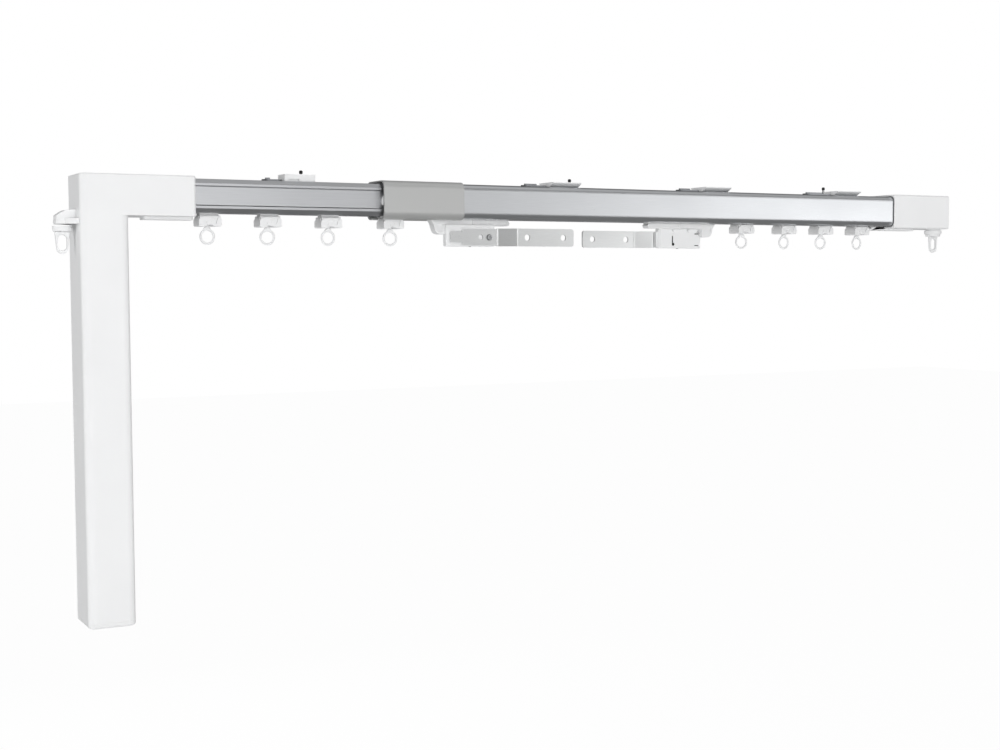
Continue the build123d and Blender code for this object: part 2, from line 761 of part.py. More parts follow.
def carrier_body():
    """Hanger bar, slanted tail, body and spine in one moulding, drawn about its own centre."""
    top, bar, low = glider_top, glider_top - hanger_bar, glider_top - hanger_height
    tip = hanger_right - hanger_tip
    outline = Polyline((hanger_left, top), (tip, top), (hanger_right, (top + bar) / 2), (tip, bar),
                       (carrier_body_right - hanger_tip, bar), (carrier_body_right - hanger_tip, low),
                       (hanger_left + hanger_slant, low), close=True)
    body = extrude(Plane.XZ * make_face(outline), amount=hanger_half, both=True)
    rear = carrier_thick - carrier_front
    lower = block(carrier_body_left, carrier_body_right, -carrier_front, rear, carrier_bottom, bar)
    body += fillet(lower.edges().filter_by(Axis.Z), carrier_corner)
    body += block(-spine_length / 2, spine_length / 2, -spine_half, spine_half, top,
                  wheel_axle_height() + wheel_radius)
    for side in (-1, 1):
        body -= level(axle_radius + running_gap, side * wheel_spacing / 2, -spine_half - overrun,
                      spine_half + overrun, wheel_axle_height())
    body -= level(arm_screw_radius + running_gap, arm_screw_x, -carrier_front - overrun,
                  -carrier_front + arm_screw_length, arm_centre)
    body -= upright(belly_screw_radius + running_gap, belly_screw_x, belly_screw_y, carrier_bottom - overrun,
                    carrier_bottom + belly_screw_length)
    high = glider_top - key_slot_top
    back, behind = rear - key_slot_depth, rear + overrun
    body -= block(key_slot_x - key_slot_half, key_slot_x + key_slot_half, back, behind,
                  high - key_slot_length, high)
    body -= level(key_slot_end, key_slot_x, back, behind, high - key_slot_length)
    return body


def belt_clamp():
    """Block on the spine that holds one run of the belt."""
    half = clamp_length / 2
    low = wheel_axle_height() + wheel_radius
    clamp = block(-half, half, -clamp_post_half, clamp_post_half, low, belt_bottom + belt_height / 2)
    clamp += block(-half, half, -belt_inside + clamp_belt_gap, 0, belt_bottom, belt_top)
    clamp = fillet(clamp.edges().filter_by(Axis.Z).sort_by(Axis.Y)[:2], clamp_tooth)
    return clamp


def carrier_wheels(x):
    """Two wheels on one axle, one on each running edge."""
    z = wheel_axle_height()
    pair = level(axle_radius, x, -wheel_outer, wheel_outer, z)
    for side in (-1, 1):
        y0, y1 = sorted((side * wheel_inner, side * wheel_outer))
        wheel = level(wheel_radius, x, y0, y1, z)
        pair += chamfer(wheel.edges(), wheel_radius / 12)
    return pair


def carrier_arm():
    """Bent steel strip on the front of the carrier, stepping out towards the other curtain."""
    y = -carrier_front - arm_seat_gap - arm_thick / 2
    path = Polyline((arm_start, y), (arm_bend_first, y), (arm_bend_second, y - arm_step),
                    (arm_end, y - arm_step))
    strip = trace(path, arm_thick)
    corners = [v for v in strip.vertices()
               if arm_bend_first - arm_thick * 2 < v.X < arm_bend_second + arm_thick * 2]
    strip = fillet(corners, arm_thick * 0.4)
    low = arm_centre - arm_height / 2
    arm = Pos(0, 0, low) * extrude(strip, amount=arm_height)
    tongue = arm_tongue_height / 2
    end = arm_start + arm_tongue_length
    reach = arm_step + overrun + arm_thick
    for side in (-1, 1):
        z0, z1 = sorted((arm_centre + side * tongue, arm_centre + side * arm_height))
        arm -= block(arm_start - overrun, end, y - reach, y + reach, z0, z1)
        z0, z1 = sorted((arm_centre + side * arm_seat_height / 2, arm_centre + side * arm_height))
        arm -= block(arm_start - overrun, arm_bend_first, y - reach, y + reach, z0, z1)
    ends = [e for e in arm.edges().filter_by(Axis.Y) if e.center().X > arm_end - arm_thick]
    arm = fillet(ends, arm_corner)
    tips = [e for e in arm.edges().filter_by(Axis.Y) if e.center().X < arm_start + arm_thick]
    arm = fillet(tips, arm_corner / 2)
    for x in (arm_end - arm_hole_from_end, arm_end - arm_hole_from_end - arm_hole_spacing):
        arm -= level(arm_hole_radius, x, y - reach, y + overrun, arm_centre)
    for x, radius in ((arm_screw_x, arm_screw_radius + running_gap), (arm_window_x, arm_window_radius)):
        arm -= level(radius, x, y - overrun, y + overrun, arm_centre)
    return arm


def arm_screw():
    front = -carrier_front - arm_seat_gap - arm_thick
    head = level(arm_screw_head_radius, arm_screw_x, front - arm_screw_head, front, arm_centre)
    head = chamfer(head.edges().sort_by(Axis.Y)[0], arm_screw_head / 2)
    return head + level(arm_screw_radius, arm_screw_x, front,
                        -carrier_front + arm_screw_length - hook_gap, arm_centre)


def belly_screw():
    """Small set screw under the carrier."""
    return upright(belly_screw_radius, belly_screw_x, belly_screw_y, carrier_bottom,
                   carrier_bottom + belly_screw_length - hook_gap)


def placed_carrier(shapes, index):
    """The right carrier is the left one turned half way round."""
    turn = 180 * index
    return [Pos(carrier_places[index], 0, 0) * Rot(0, 0, turn) * shape for shape in shapes]


def left_hook_arm():
    """Arm on the side of the motor column that carries the left end hook, with a wide foot flange."""
    top, low = left_arm_top, left_arm_bottom
    x = column_left
    outline = Polyline((x, top), (x - left_hook_flat, top - left_hook_top_drop),
                       (x - left_hook_slope, top - left_hook_slope_drop),
                       (x - left_hook_reach, top - left_hook_side_drop), (x - left_hook_reach, low),
                       (x, low), close=True)
    arm = extrude(Plane.XZ * make_face(outline), amount=left_hook_half, both=True)
    return arm + block(x - left_flange_thick, x, -left_flange_half, left_flange_half, low,
                       low + left_flange_height)


def collar(x, y, top, radius, rim, foot, height):
    """Flange that narrows to a foot, with a blind hole for the loop's stem."""
    shape = upright(radius, x, y, top - rim, top)
    cone = Cone(foot, radius, height - rim, align=(Align.CENTER, Align.CENTER, Align.MAX))
    shape += Pos(x, y, top - rim) * cone
    return shape - upright(ring_stem_radius + running_gap, x, y, top - height - overrun, top - hook_edge)


def hook_loop(x, y, top, wide, narrow, height, hole_width, hole_height, hole_drop, stem):
    """Tall eyelet with a swivel stem."""
    end = -height + narrow / 2
    outline = make_face(Polyline((-wide / 2, 0), (wide / 2, 0), (narrow / 2, end), (-narrow / 2, end),
                                 close=True))
    outline = fillet(outline.vertices().sort_by(Axis.Y)[-2:], hook_edge * 2)
    outline += Pos(0, end) * Circle(narrow / 2)
    hole = Pos(0, -hole_drop - hole_height / 2) * SlotOverall(hole_height, hole_width, rotation=90)
    loop = extrude(Plane.XZ * (outline - hole), amount=loop_thick / 2, both=True)
    loop += upright(ring_stem_radius, 0, 0, -hook_edge, stem)
    return Pos(x, y, top - swivel_gap) * loop


left_hook_x = column_left - left_hook_centre
right_hook_x = cap_right - right_collar_inset

parts = {
    "outer_rail": outer_rail(),
    "inner_rail": inner_rail(),
    "coupling_sleeve": coupling_sleeve(),
    "sleeve_guide": sleeve_guide(),
    "drive_housing": drive_housing(),
    "bottom_cap": bottom_cap(),
    "power_inlet": power_inlet(),
    "setting_button": setting_button(),
    "gearmotor": gearmotor(),
    "control_board": control_board(),
    "drive_pulley": drive_pulley(),
    "idler_pulley": idler_pulley(),
    "idler_axle": idler_axle(),
    "drive_belt": drive_belt(),
    "drive_plate": drive_plate(),
    "idler_plate": idler_plate(),
    "end_cap": end_cap(),
}

inner_hook = (inner_top, inner_top_opening, inner_top_cavity, inner_top_cavity_height)
outer_hook = (outer_top, outer_top_opening, outer_top_cavity, outer_top_cavity_height)
x = bracket_places["inner"]
plate = bracket_solid(x, inner_bracket_length, inner_bracket_depth, inner_screw_offset, *inner_hook)
parts["inner_bracket_plate"] = plate - bracket_window(x, inner_top)
parts["inner_bracket_screw"] = bracket_screw(x + inner_screw_offset, inner_top)
parts["inner_cam_lever"] = cam_lever(x - inner_bracket_length / 2, lever_lengths["inner"], *inner_hook[:1],
                                     *inner_hook[2:])
plates = []
for name in ("second", "third", "fourth"):
    x = bracket_places[name]
    plates.append(bracket_solid(x, bracket_length, bracket_depth, outer_screw_offset, *outer_hook))
    parts[name + "_cam_lever"] = cam_lever(x - bracket_length / 2, lever_lengths[name], *outer_hook[:1],
                                           *outer_hook[2:])
parts["outer_bracket_plates"] = Compound(children=plates)
parts["second_bracket_screw"] = bracket_screw(bracket_places["second"] + outer_screw_offset, outer_top)
parts["fourth_lever_pin"] = lever_pin(bracket_places["fourth"] - bracket_length / 2)

for index, side in enumerate(("left", "right")):
    body, clamp, arm, screw, belly, front, back = placed_carrier(
        [carrier_body(), belt_clamp(), carrier_arm(), arm_screw(), belly_screw(),
         carrier_wheels(wheel_spacing / 2), carrier_wheels(-wheel_spacing / 2)], index)
    parts[side + "_carrier"] = body
    parts[side + "_belt_clamp"] = clamp
    parts[side + "_arm"] = arm
    parts[side + "_arm_screws"] = Compound(children=[screw, belly])
    parts[side + "_carrier_wheels_inner"] = front
    parts[side + "_carrier_wheels_outer"] = back

for index, x in enumerate(glider_places):
    side = "left" if x < 0 else "right"
    number = str(index % 4 + 1)
    parts[side + "_glider_" + number] = glider_body(x)
    parts[side + "_ring_" + number] = glider_ring(x)

parts["left_hook_arm"] = left_hook_arm()
parts["left_hook_collar"] = collar(left_hook_x, 0, left_arm_bottom, left_collar_radius, hook_edge,
                                   left_collar_foot, left_collar_height)
parts["left_hook_loop"] = hook_loop(
    left_hook_x, 0, left_arm_bottom - left_collar_height, left_loop_top, left_loop_low, left_loop_height,
    left_hole_width, left_hole_height, left_hole_drop, left_collar_height - hook_edge)
parts["right_hook_collar"] = collar(right_hook_x, -right_collar_forward, cap_bottom, right_collar_radius,
                                    right_collar_rim, right_collar_foot, right_collar_height)
parts["right_hook_loop"] = hook_loop(
    right_hook_x, -right_collar_forward, cap_bottom - right_collar_height, right_loop_width, right_loop_width,
    right_loop_height, right_hole_width, right_hole_height, right_hole_drop, right_collar_height - hook_edge)

os.makedirs("parts", exist_ok=True)
for name, shape in parts.items():
    export_step(shape, "parts/" + name + ".step")
    print(name, round(shape.volume, 1))
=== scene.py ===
import bpy
import json
import math
from mathutils import Matrix, Vector


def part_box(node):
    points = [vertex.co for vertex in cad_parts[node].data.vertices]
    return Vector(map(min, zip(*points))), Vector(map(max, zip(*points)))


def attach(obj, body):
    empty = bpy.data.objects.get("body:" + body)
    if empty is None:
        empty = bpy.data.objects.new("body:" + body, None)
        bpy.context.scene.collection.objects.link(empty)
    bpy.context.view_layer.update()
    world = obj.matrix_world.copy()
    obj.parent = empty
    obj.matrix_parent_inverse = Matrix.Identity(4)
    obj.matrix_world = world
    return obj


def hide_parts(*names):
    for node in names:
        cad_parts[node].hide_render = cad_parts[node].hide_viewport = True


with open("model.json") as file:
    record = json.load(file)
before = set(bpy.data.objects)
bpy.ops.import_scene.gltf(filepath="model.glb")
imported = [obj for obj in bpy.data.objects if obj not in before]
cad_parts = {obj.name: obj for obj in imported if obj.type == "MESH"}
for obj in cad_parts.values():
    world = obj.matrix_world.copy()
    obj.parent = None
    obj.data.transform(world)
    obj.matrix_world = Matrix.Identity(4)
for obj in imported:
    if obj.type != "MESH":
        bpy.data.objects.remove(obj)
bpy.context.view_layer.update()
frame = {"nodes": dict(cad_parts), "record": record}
nodes = frame["nodes"]
print("frame loaded:", len(nodes), "nodes")

mm = 0.001  # lengths are in millimetres, but the sizes of floor and lamps and the camera's clip are in metres
scene = bpy.context.scene
scene.view_settings.view_transform = "Standard"


# modelling by operators

def only(*pieces):
    bpy.ops.object.select_all(action="DESELECT")
    for piece in pieces:
        piece.select_set(True)
    bpy.context.view_layer.objects.active = pieces[0]


def named(name):  # the object that an operator has just added
    piece = bpy.context.object
    piece.name = piece.data.name = name
    return piece


def settle(piece):  # place and size go into the mesh, and the object stays at the origin
    only(piece)
    bpy.ops.object.transform_apply(location=True, rotation=True, scale=True)
    return piece


def startBlock(name, corner, other):  # two opposite corners
    bpy.ops.object.select_all(action="DESELECT")
    bpy.ops.mesh.primitive_cube_add(size=1, location=[(a + b) / 2 * mm for a, b in zip(corner, other)])
    piece = named(name)
    piece.scale = [abs(b - a) * mm for a, b in zip(corner, other)]
    return settle(piece)


def startBar(name, radius, start, end, sides=48, tip=None):  # round bar or cone between two points
    bpy.ops.object.select_all(action="DESELECT")
    a, b = Vector(start) * mm, Vector(end) * mm
    bpy.ops.mesh.primitive_cone_add(vertices=sides, radius1=radius * mm,
                                    radius2=(radius if tip is None else tip) * mm,
                                    depth=(b - a).length, location=(a + b) / 2)
    piece = named(name)
    piece.rotation_euler = (b - a).to_track_quat("Z", "Y").to_euler()
    return settle(piece)


def drawSolid(name, points, across, start, end):
    # outline clicked point by point from one vertex, filled, and pulled out to a solid
    start, end = sorted((start, end))
    place = {"X": lambda u, v: Vector((start, u, v)), "Y": lambda u, v: Vector((u, start, v)),
             "Z": lambda u, v: Vector((u, v, start))}[across]
    pull = Vector([end - start if axis == across else 0 for axis in "XYZ"])
    bpy.ops.object.select_all(action="DESELECT")
    bpy.ops.mesh.primitive_plane_add(size=mm, location=place(*points[0]) * mm)
    piece = settle(named(name))
    bpy.ops.object.mode_set(mode="EDIT")
    bpy.ops.mesh.select_mode(type="VERT")
    bpy.ops.mesh.select_all(action="SELECT")
    bpy.ops.mesh.merge(type="CENTER")
    here = place(*points[0])
    for u, v in points[1:]:
        there = place(u, v)
        bpy.ops.mesh.extrude_vertices_move(TRANSFORM_OT_translate={"value": (there - here) * mm})
        here = there
    bpy.ops.mesh.select_all(action="SELECT")
    bpy.ops.mesh.edge_face_add()
    bpy.ops.mesh.extrude_region_move(TRANSFORM_OT_translate={"value": pull * mm})
    bpy.ops.mesh.select_all(action="SELECT")
    bpy.ops.mesh.normals_make_consistent(inside=False)
    bpy.ops.object.mode_set(mode="OBJECT")
    return piece


def arc(x, z, radius, first, last, steps=14):  # points of an outline, angles in half turns
    turns = [math.pi * (first + (last - first) * step / steps) for step in range(steps + 1)]
    return [(x + radius * math.cos(turn), z + radius * math.sin(turn)) for turn in turns]


def camel(node):
    first, *others = node.split("_")
    return first + "".join(word.title() for word in others)


merging = {"distance": 0.002, "angle": 0.5}  # corners this near and faces this flat to each other become one


def copyNode(name, node):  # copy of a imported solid, its loose triangles joined into clean faces
    bpy.ops.object.select_all(action="DESELECT")
    piece = nodes[node].copy()
    piece.data = nodes[node].data.copy()
    piece.parent = None
    for key in list(piece.keys()):
        del piece[key]
    piece.name = piece.data.name = name
    scene.collection.objects.link(piece)
    only(piece)
    bpy.ops.object.mode_set(mode="EDIT")
    bpy.ops.mesh.select_all(action="SELECT")
    bpy.ops.mesh.remove_doubles(threshold=merging["distance"] * mm)
    bpy.ops.mesh.dissolve_limited(angle_limit=math.radians(merging["angle"]))
    bpy.ops.object.mode_set(mode="OBJECT")
    return piece


def roundEdges(piece, width, test, steps):  # only the edges whose two ends pass the test
    only(piece)
    bpy.ops.object.mode_set(mode="EDIT")
    bpy.ops.mesh.select_mode(type="EDGE")
    bpy.ops.mesh.select_all(action="DESELECT")
    bpy.ops.object.mode_set(mode="OBJECT")
    ends = [corner.co / mm for corner in piece.data.vertices]
    for edge in piece.data.edges:
        edge.select = bool(test(*(ends[corner] for corner in edge.vertices)))
    bpy.ops.object.mode_set(mode="EDIT")
    bpy.ops.mesh.bevel(offset=width * mm, segments=steps, affect="EDGES", clamp_overlap=True)
    bpy.ops.object.mode_set(mode="OBJECT")
    return piece


def soften(piece, width, steps=2, angle=35):  # small rounding on every sharp edge
    only(piece)
    bevel = piece.modifiers.new("Edge", "BEVEL")
    bevel.width = width * mm
    bevel.segments = steps
    bevel.limit_method = "ANGLE"
    bevel.angle_limit = math.radians(angle)
    bevel.use_clamp_overlap = True
    bpy.ops.object.modifier_apply(modifier=bevel.name)
    return piece


def combine(piece, other, way):  # the other piece is used up
    only(piece)
    tool = piece.modifiers.new("Shape", "BOOLEAN")
    tool.operation = way
    tool.solver = "EXACT"
    tool.object = other
    bpy.ops.object.modifier_apply(modifier=tool.name)
    bpy.data.objects.remove(other)
    return piece


def cut(piece, other):
    return combine(piece, other, "DIFFERENCE")


def weld(piece, other):
    return combine(piece, other, "UNION")


def joinUp(piece, *others):  # parts that only touch are joined into one object
    only(piece, *others)
    bpy.ops.object.join()
    return piece


def copyPiece(piece, name, move, turn=0):  # turned on its own axis and moved, with its own mesh
    twin = piece.copy()
    twin.data = piece.data.copy()
    twin.name = twin.data.name = name
    scene.collection.objects.link(twin)
    twin.matrix_world = (Matrix.Translation(Vector(move) * mm)
                         @ Matrix.Rotation(math.radians(turn), 4, "Z"))
    return settle(twin)


def finishPiece(piece, body, slot, *stoodFor, smooth=30, finish=None):
    only(piece)
    bpy.ops.object.shade_smooth_by_angle(angle=math.radians(smooth))
    even = piece.modifiers.new("Even", "WEIGHTED_NORMAL")  # large flat faces stay flat beside their rounding
    even.keep_sharp = True
    bpy.ops.object.modifier_apply(modifier=even.name)
    piece.data.materials.clear()
    piece.data.materials.append(finishes[finish or slot])
    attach(piece, body)
    if stoodFor:
        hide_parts(*stoodFor)


# finishes, all from Object coordinates, where texture scales count per metre

def addNode(tree, kind, inputs=(), operation=None):
    node = tree.nodes.new("ShaderNode" + kind)
    if operation:
        node.operation = operation
    for name, value in dict(inputs).items():
        node.inputs[name].default_value = value
    return node


def newFinish(name, colour, roughness, metallic=0.0):
    material = bpy.data.materials.new(name)
    material.use_nodes = True
    tree = material.node_tree
    shader = tree.nodes["Principled BSDF"]
    shader.inputs["Base Color"].default_value = (*colour, 1)
    shader.inputs["Roughness"].default_value = roughness
    shader.inputs["Metallic"].default_value = metallic
    return material, tree, shader


def addNoise(tree, scale, stretch=(1, 1, 1), detail=3):
    place = addNode(tree, "TexCoord")
    mapping = addNode(tree, "Mapping", {"Scale": stretch})
    noise = addNode(tree, "TexNoise", {"Scale": scale, "Detail": detail})
    tree.links.new(place.outputs["Object"], mapping.inputs["Vector"])
    tree.links.new(mapping.outputs["Vector"], noise.inputs["Vector"])
    return noise.outputs["Fac"]


def varyColour(tree, shader, fac, first, second, low=0.35, high=0.65):
    ramp = addNode(tree, "ValToRGB")
    for stop, place, colour in zip(ramp.color_ramp.elements, (low, high), (first, second)):
        stop.position = place
        stop.color = (*colour, 1)
    tree.links.new(fac, ramp.inputs["Fac"])
    tree.links.new(ramp.outputs["Color"], shader.inputs["Base Color"])


def varyRoughness(tree, shader, fac, low, high):
    span = addNode(tree, "MapRange", {"From Min": 0.3, "From Max": 0.7, "To Min": low, "To Max": high})
    tree.links.new(fac, span.inputs["Value"])
    tree.links.new(span.outputs["Result"], shader.inputs["Roughness"])


def addRelief(tree, shader, fac, strength, depth):
    bump = addNode(tree, "Bump", {"Strength": strength, "Distance": depth * mm})
    tree.links.new(fac, bump.inputs["Height"])
    tree.links.new(bump.outputs["Normal"], shader.inputs["Normal"])


def shade(colour, share):
    return tuple(c * share for c in colour)


plastic = {"clouds": 18, "tint": 0.975, "polish": 0.06, "dull": 0.08, "depth": 0.03, "specular": 0.4}
metal = {"lines": 5200, "clouds": 26, "cloudStretch": (0.4, 1, 1), "share": 0.5, "depth": 0.012}
blackened = {"metallic": 0.6, "grain": 1800, "tints": (0.6, 1.5), "polish": 0.08, "dull": 0.15,
             "relief": 0.25, "depth": 0.02}
rubber = {"roughness": (0.6, 0.8), "grain": 2200, "tints": (0.7, 1.4), "relief": 0.6, "depth": 0.5}
board = {"copper": (0.10, 0.34, 0.14), "cells": 190, "runs": (0.02, 0.06), "grain": 900,
         "roughness": (0.28, 0.42), "relief": 0.3, "depth": 0.05}


def mouldedPlastic(name, colour, roughness, grain=2600, relief=0.12):
    material, tree, shader = newFinish(name, colour, roughness)
    cloudy = addNoise(tree, plastic["clouds"], detail=2)
    fine = addNoise(tree, grain, detail=4)
    varyColour(tree, shader, cloudy, shade(colour, plastic["tint"]), colour)
    varyRoughness(tree, shader, fine, roughness - plastic["polish"], roughness + plastic["dull"])
    addRelief(tree, shader, fine, relief, plastic["depth"])
    shader.inputs["Specular IOR Level"].default_value = plastic["specular"]
    return material


def drawnMetal(name, colour, low, high, stretch=(0.012, 1, 1), relief=0.1, metallic=1.0, tint=0.93,
               anisotropy=0.0):  # fine drawing lines, long along one axis
    material, tree, shader = newFinish(name, colour, low, metallic)
    lines = addNoise(tree, metal["lines"], stretch, detail=5)
    cloudy = addNoise(tree, metal["clouds"], metal["cloudStretch"], detail=2)
    varyColour(tree, shader, lines, shade(colour, tint), colour)
    half = addNode(tree, "Math", {1: metal["share"]}, "MULTIPLY")
    mix = addNode(tree, "Math", {1: 1 - metal["share"]}, "MULTIPLY_ADD")
    tree.links.new(cloudy, half.inputs[0])
    tree.links.new(lines, mix.inputs[0])
    tree.links.new(half.outputs[0], mix.inputs[2])
    varyRoughness(tree, shader, mix.outputs[0], low, high)
    addRelief(tree, shader, lines, relief, metal["depth"])
    shader.inputs["Anisotropic"].default_value = anisotropy
    return material


def blackenedSteel(name, colour, roughness):
    material, tree, shader = newFinish(name, colour, roughness, blackened["metallic"])
    fine = addNoise(tree, blackened["grain"], detail=6)
    varyColour(tree, shader, fine, *(shade(colour, tint) for tint in blackened["tints"]))
    varyRoughness(tree, shader, fine, roughness - blackened["polish"], roughness + blackened["dull"])
    addRelief(tree, shader, fine, blackened["relief"], blackened["depth"])
    return material


def toothedRubber(name, colour, pitch):  # the belt's cross teeth as relief along X
    material, tree, shader = newFinish(name, colour, sum(rubber["roughness"]) / 2)
    place = addNode(tree, "TexCoord")
    wave = addNode(tree, "TexWave", {"Scale": math.pi / (10 * pitch * mm)})
    wave.wave_type = "BANDS"
    wave.bands_direction = "X"
    tree.links.new(place.outputs["Object"], wave.inputs["Vector"])
    fine = addNoise(tree, rubber["grain"], detail=4)
    varyColour(tree, shader, fine, *(shade(colour, tint) for tint in rubber["tints"]))
    varyRoughness(tree, shader, fine, *rubber["roughness"])
    addRelief(tree, shader, wave.outputs["Fac"], rubber["relief"], rubber["depth"])
    return material


def circuitBoard(name, colour):  # green lacquer with thin copper runs under it
    material, tree, shader = newFinish(name, colour, sum(board["roughness"]) / 2)
    place = addNode(tree, "TexCoord")
    cells = addNode(tree, "TexVoronoi")
    cells.distance = "CHEBYCHEV"
    cells.feature = "DISTANCE_TO_EDGE"
    cells.inputs["Scale"].default_value = board["cells"]
    tree.links.new(place.outputs["Object"], cells.inputs["Vector"])
    varyColour(tree, shader, cells.outputs["Distance"], board["copper"], colour, *board["runs"])
    varyRoughness(tree, shader, addNoise(tree, board["grain"]), *board["roughness"])
    addRelief(tree, shader, cells.outputs["Distance"], board["relief"], board["depth"])
    return material


plain = (1, 1, 1)  # stretch without a drawing direction
finishes = {
    "white_plastic": mouldedPlastic("Housing white", (0.87, 0.875, 0.88), 0.34),
    "white_nylon": mouldedPlastic("Glider nylon", (0.87, 0.875, 0.88), 0.42, grain=1900, relief=0.18),
    "wheel_nylon": mouldedPlastic("Wheel nylon", (0.82, 0.82, 0.80), 0.38, grain=1500, relief=0.2),
    "anodised_aluminium": drawnMetal("Outer rail anodised", (0.74, 0.755, 0.775), 0.26, 0.36, anisotropy=0.3),
    "satin_aluminium": drawnMetal("Inner rail anodised", (0.66, 0.67, 0.69), 0.30, 0.40, anisotropy=0.3),
    "sleeve_grey": drawnMetal("Sleeve satin", (0.57, 0.575, 0.57), 0.38, 0.5, plain, metallic=0.55, tint=0.97),
    "arm_steel": drawnMetal("Arm zinc", (0.87, 0.88, 0.88), 0.26, 0.40, (0.03, 1, 1), 0.16, tint=0.94),
    "screw_steel": drawnMetal("Screw zinc", (0.62, 0.63, 0.64), 0.25, 0.38, plain, tint=0.85),
    "lever_steel": drawnMetal("Lever steel", (0.40, 0.41, 0.43), 0.3, 0.45, (0.1, 1, 1), 0.2, tint=0.8),
    "motor_steel": drawnMetal("Motor steel", (0.50, 0.51, 0.53), 0.32, 0.5, (1, 1, 0.05), 0.2, tint=0.85),
    "black_screw": blackenedSteel("Screw blackened", (0.03, 0.03, 0.03), 0.42),
    "belt_rubber": toothedRubber("Belt rubber", (0.03, 0.03, 0.03), 3.0),
    "board_green": circuitBoard("Board lacquer", (0.02, 0.14, 0.06)),
    "black_plastic": mouldedPlastic("Inlet black", (0.03, 0.03, 0.03), 0.45),
}
slots = {part["node"]: part["material_slot"] for part in frame["record"]["subparts"]}
for node, piece in nodes.items():
    piece.data.materials.clear()
    piece.data.materials.append(finishes[slots[node]])
print("finishes:", len(finishes))


# rails' sliding parts: gliders and their rings, modelled once and copied; outlines are seen from the front

glider = {
    "places": {"left": (-328.7, -278.2, -225.2, -168.7), "right": (203.1, 255.0, 301.2, 348.3)},
    "deep": 8.0, "edge": (0.15, 2, 30),
    "side": [(-8.8, -42.8), (-8.8, -36.35), (-7.8, -34.45), (8.8, -34.45), (10.0, -36.65), (10.0, -42.6)],
    "foot": [(9.2, -43.2), (3.4, -43.2), (2.1, -42.2), (-2.1, -42.2), (-3.2, -43.4), (-8.2, -43.4)],
    "roof": [(-6.9, -44.4), (6.9, -44.4), (6.9, -38.0), (3.0, -34.25), (3.0, -33.45), (-3.0, -33.45),
             (-3.0, -34.25), (-6.9, -38.0)], "roofSpan": (-9.8, 11.0),
    "lobes": [(-8.8, -42.6), (-8.8, -37.9), (-7.9, -36.6), (-6.2, -35.7), (-3.4, -35.2), (-0.8, -35.4),
              (1.2, -36.2), (2.8, -37.6), (4.1, -39.4), (5.2, -41.3), (5.8, -39.2), (6.3, -37.3),
              (7.1, -36.0), (8.3, -35.6), (9.3, -36.4), (10.0, -38.2), (10.0, -42.5)],
    "lobeBack": 6.5, "lobeEdge": (0.2, 2, 25),
    "panel": [(-7.8, -42.1), (-7.8, -38.4), (-6.6, -37.2), (-3.4, -36.5), (-0.6, -36.9), (1.0, -38.2),
              (1.0, -40.4), (-0.6, -41.6), (-3.6, -42.1)], "panelBack": 7.78,
    "dimple": (-3.0, -40.4), "dimpleRadius": 0.8, "dimpleBack": 7.1,
    "neck": ((-7.2, -4.3, -35.45), (8.2, 4.3, -31.3)),
    "shoulders": [(-7.15, -41.8), (7.15, -41.8), (7.15, -35.05), (6.5, -34.45), (-6.5, -34.45),
                  (-7.15, -35.05)], "shoulderSpan": (-8.0, 9.0), "shoulderEdge": 0.15,
    "head": ((-8, -9, -31.3), (8, 9, -28.5)), "headCorner": 2.0, "headEdge": 0.3}
gliderBody = drawSolid("gliderModel", glider["side"] + glider["foot"], "Y", -glider["deep"], glider["deep"])
combine(gliderBody, drawSolid("roof", glider["roof"], "X", *glider["roofSpan"]), "INTERSECT")
soften(gliderBody, *glider["edge"])
for side in (-1, 1):  # on both faces two arched lobes with a V between them, a sunk panel and a dimple
    out = side * (glider["deep"] + 1)
    lobes = drawSolid("lobes", glider["lobes"] + glider["foot"], "Y", side * glider["lobeBack"],
                      side * glider["deep"])
    soften(lobes, *glider["lobeEdge"])
    cut(lobes, drawSolid("panel", glider["panel"], "Y", side * glider["panelBack"], out))
    x, z = glider["dimple"]
    cut(lobes, startBar("dimple", glider["dimpleRadius"], (x, side * glider["dimpleBack"], z), (x, out, z), 20))
    joinUp(gliderBody, lobes)
shoulders = drawSolid("shoulders", glider["shoulders"], "X", *glider["shoulderSpan"])
neck = joinUp(startBlock("neck", *glider["neck"]), soften(shoulders, glider["shoulderEdge"]))
joinUp(gliderBody, neck)
head = startBlock("head", *glider["head"])
roundEdges(head, glider["headCorner"], lambda p, q: abs(p.z - q.z) > 2, 5)
soften(head, glider["headEdge"])
joinUp(gliderBody, head)

ring = {"turns": {"left": (4, -3, 6, -5), "right": (-6, 3, -4, 5)},  # each hangs a little differently
        "centre": -51.5, "middle": 5.65, "wire": 0.9, "hole": 4.8,
        "gusset": [(-1.8, -43.7), (1.8, -43.7), (2.9, -45.2), (4.6, -47.9), (-4.6, -47.9), (-2.9, -45.2)],
        "gussetHalf": 1.05, "gussetEdge": 0.45,
        "collar": 2.5, "collarLow": -44.8, "collarTop": -43.7, "collarEdge": 0.3,
        "stem": 1.5, "stemLow": -44.1, "stemTop": -39.5}
bpy.ops.object.select_all(action="DESELECT")
bpy.ops.mesh.primitive_torus_add(major_segments=72, minor_segments=20, major_radius=ring["middle"] * mm,
                                 minor_radius=ring["wire"] * mm, location=(0, 0, ring["centre"] * mm),
                                 rotation=(math.radians(90), 0, 0))
ringModel = settle(named("ringModel"))
gusset = drawSolid("gusset", ring["gusset"], "Y", -ring["gussetHalf"], ring["gussetHalf"])
soften(gusset, ring["gussetEdge"], 3)
cut(gusset, startBar("eye", ring["hole"], (0, -4, ring["centre"]), (0, 4, ring["centre"]), 72))
weld(ringModel, gusset)
collar = startBar("collar", ring["collar"], (0, 0, ring["collarLow"]), (0, 0, ring["collarTop"]), 40)
soften(collar, ring["collarEdge"])
stem = startBar("stem", ring["stem"], (0, 0, ring["stemLow"]), (0, 0, ring["stemTop"]), 32)
joinUp(ringModel, collar, stem)

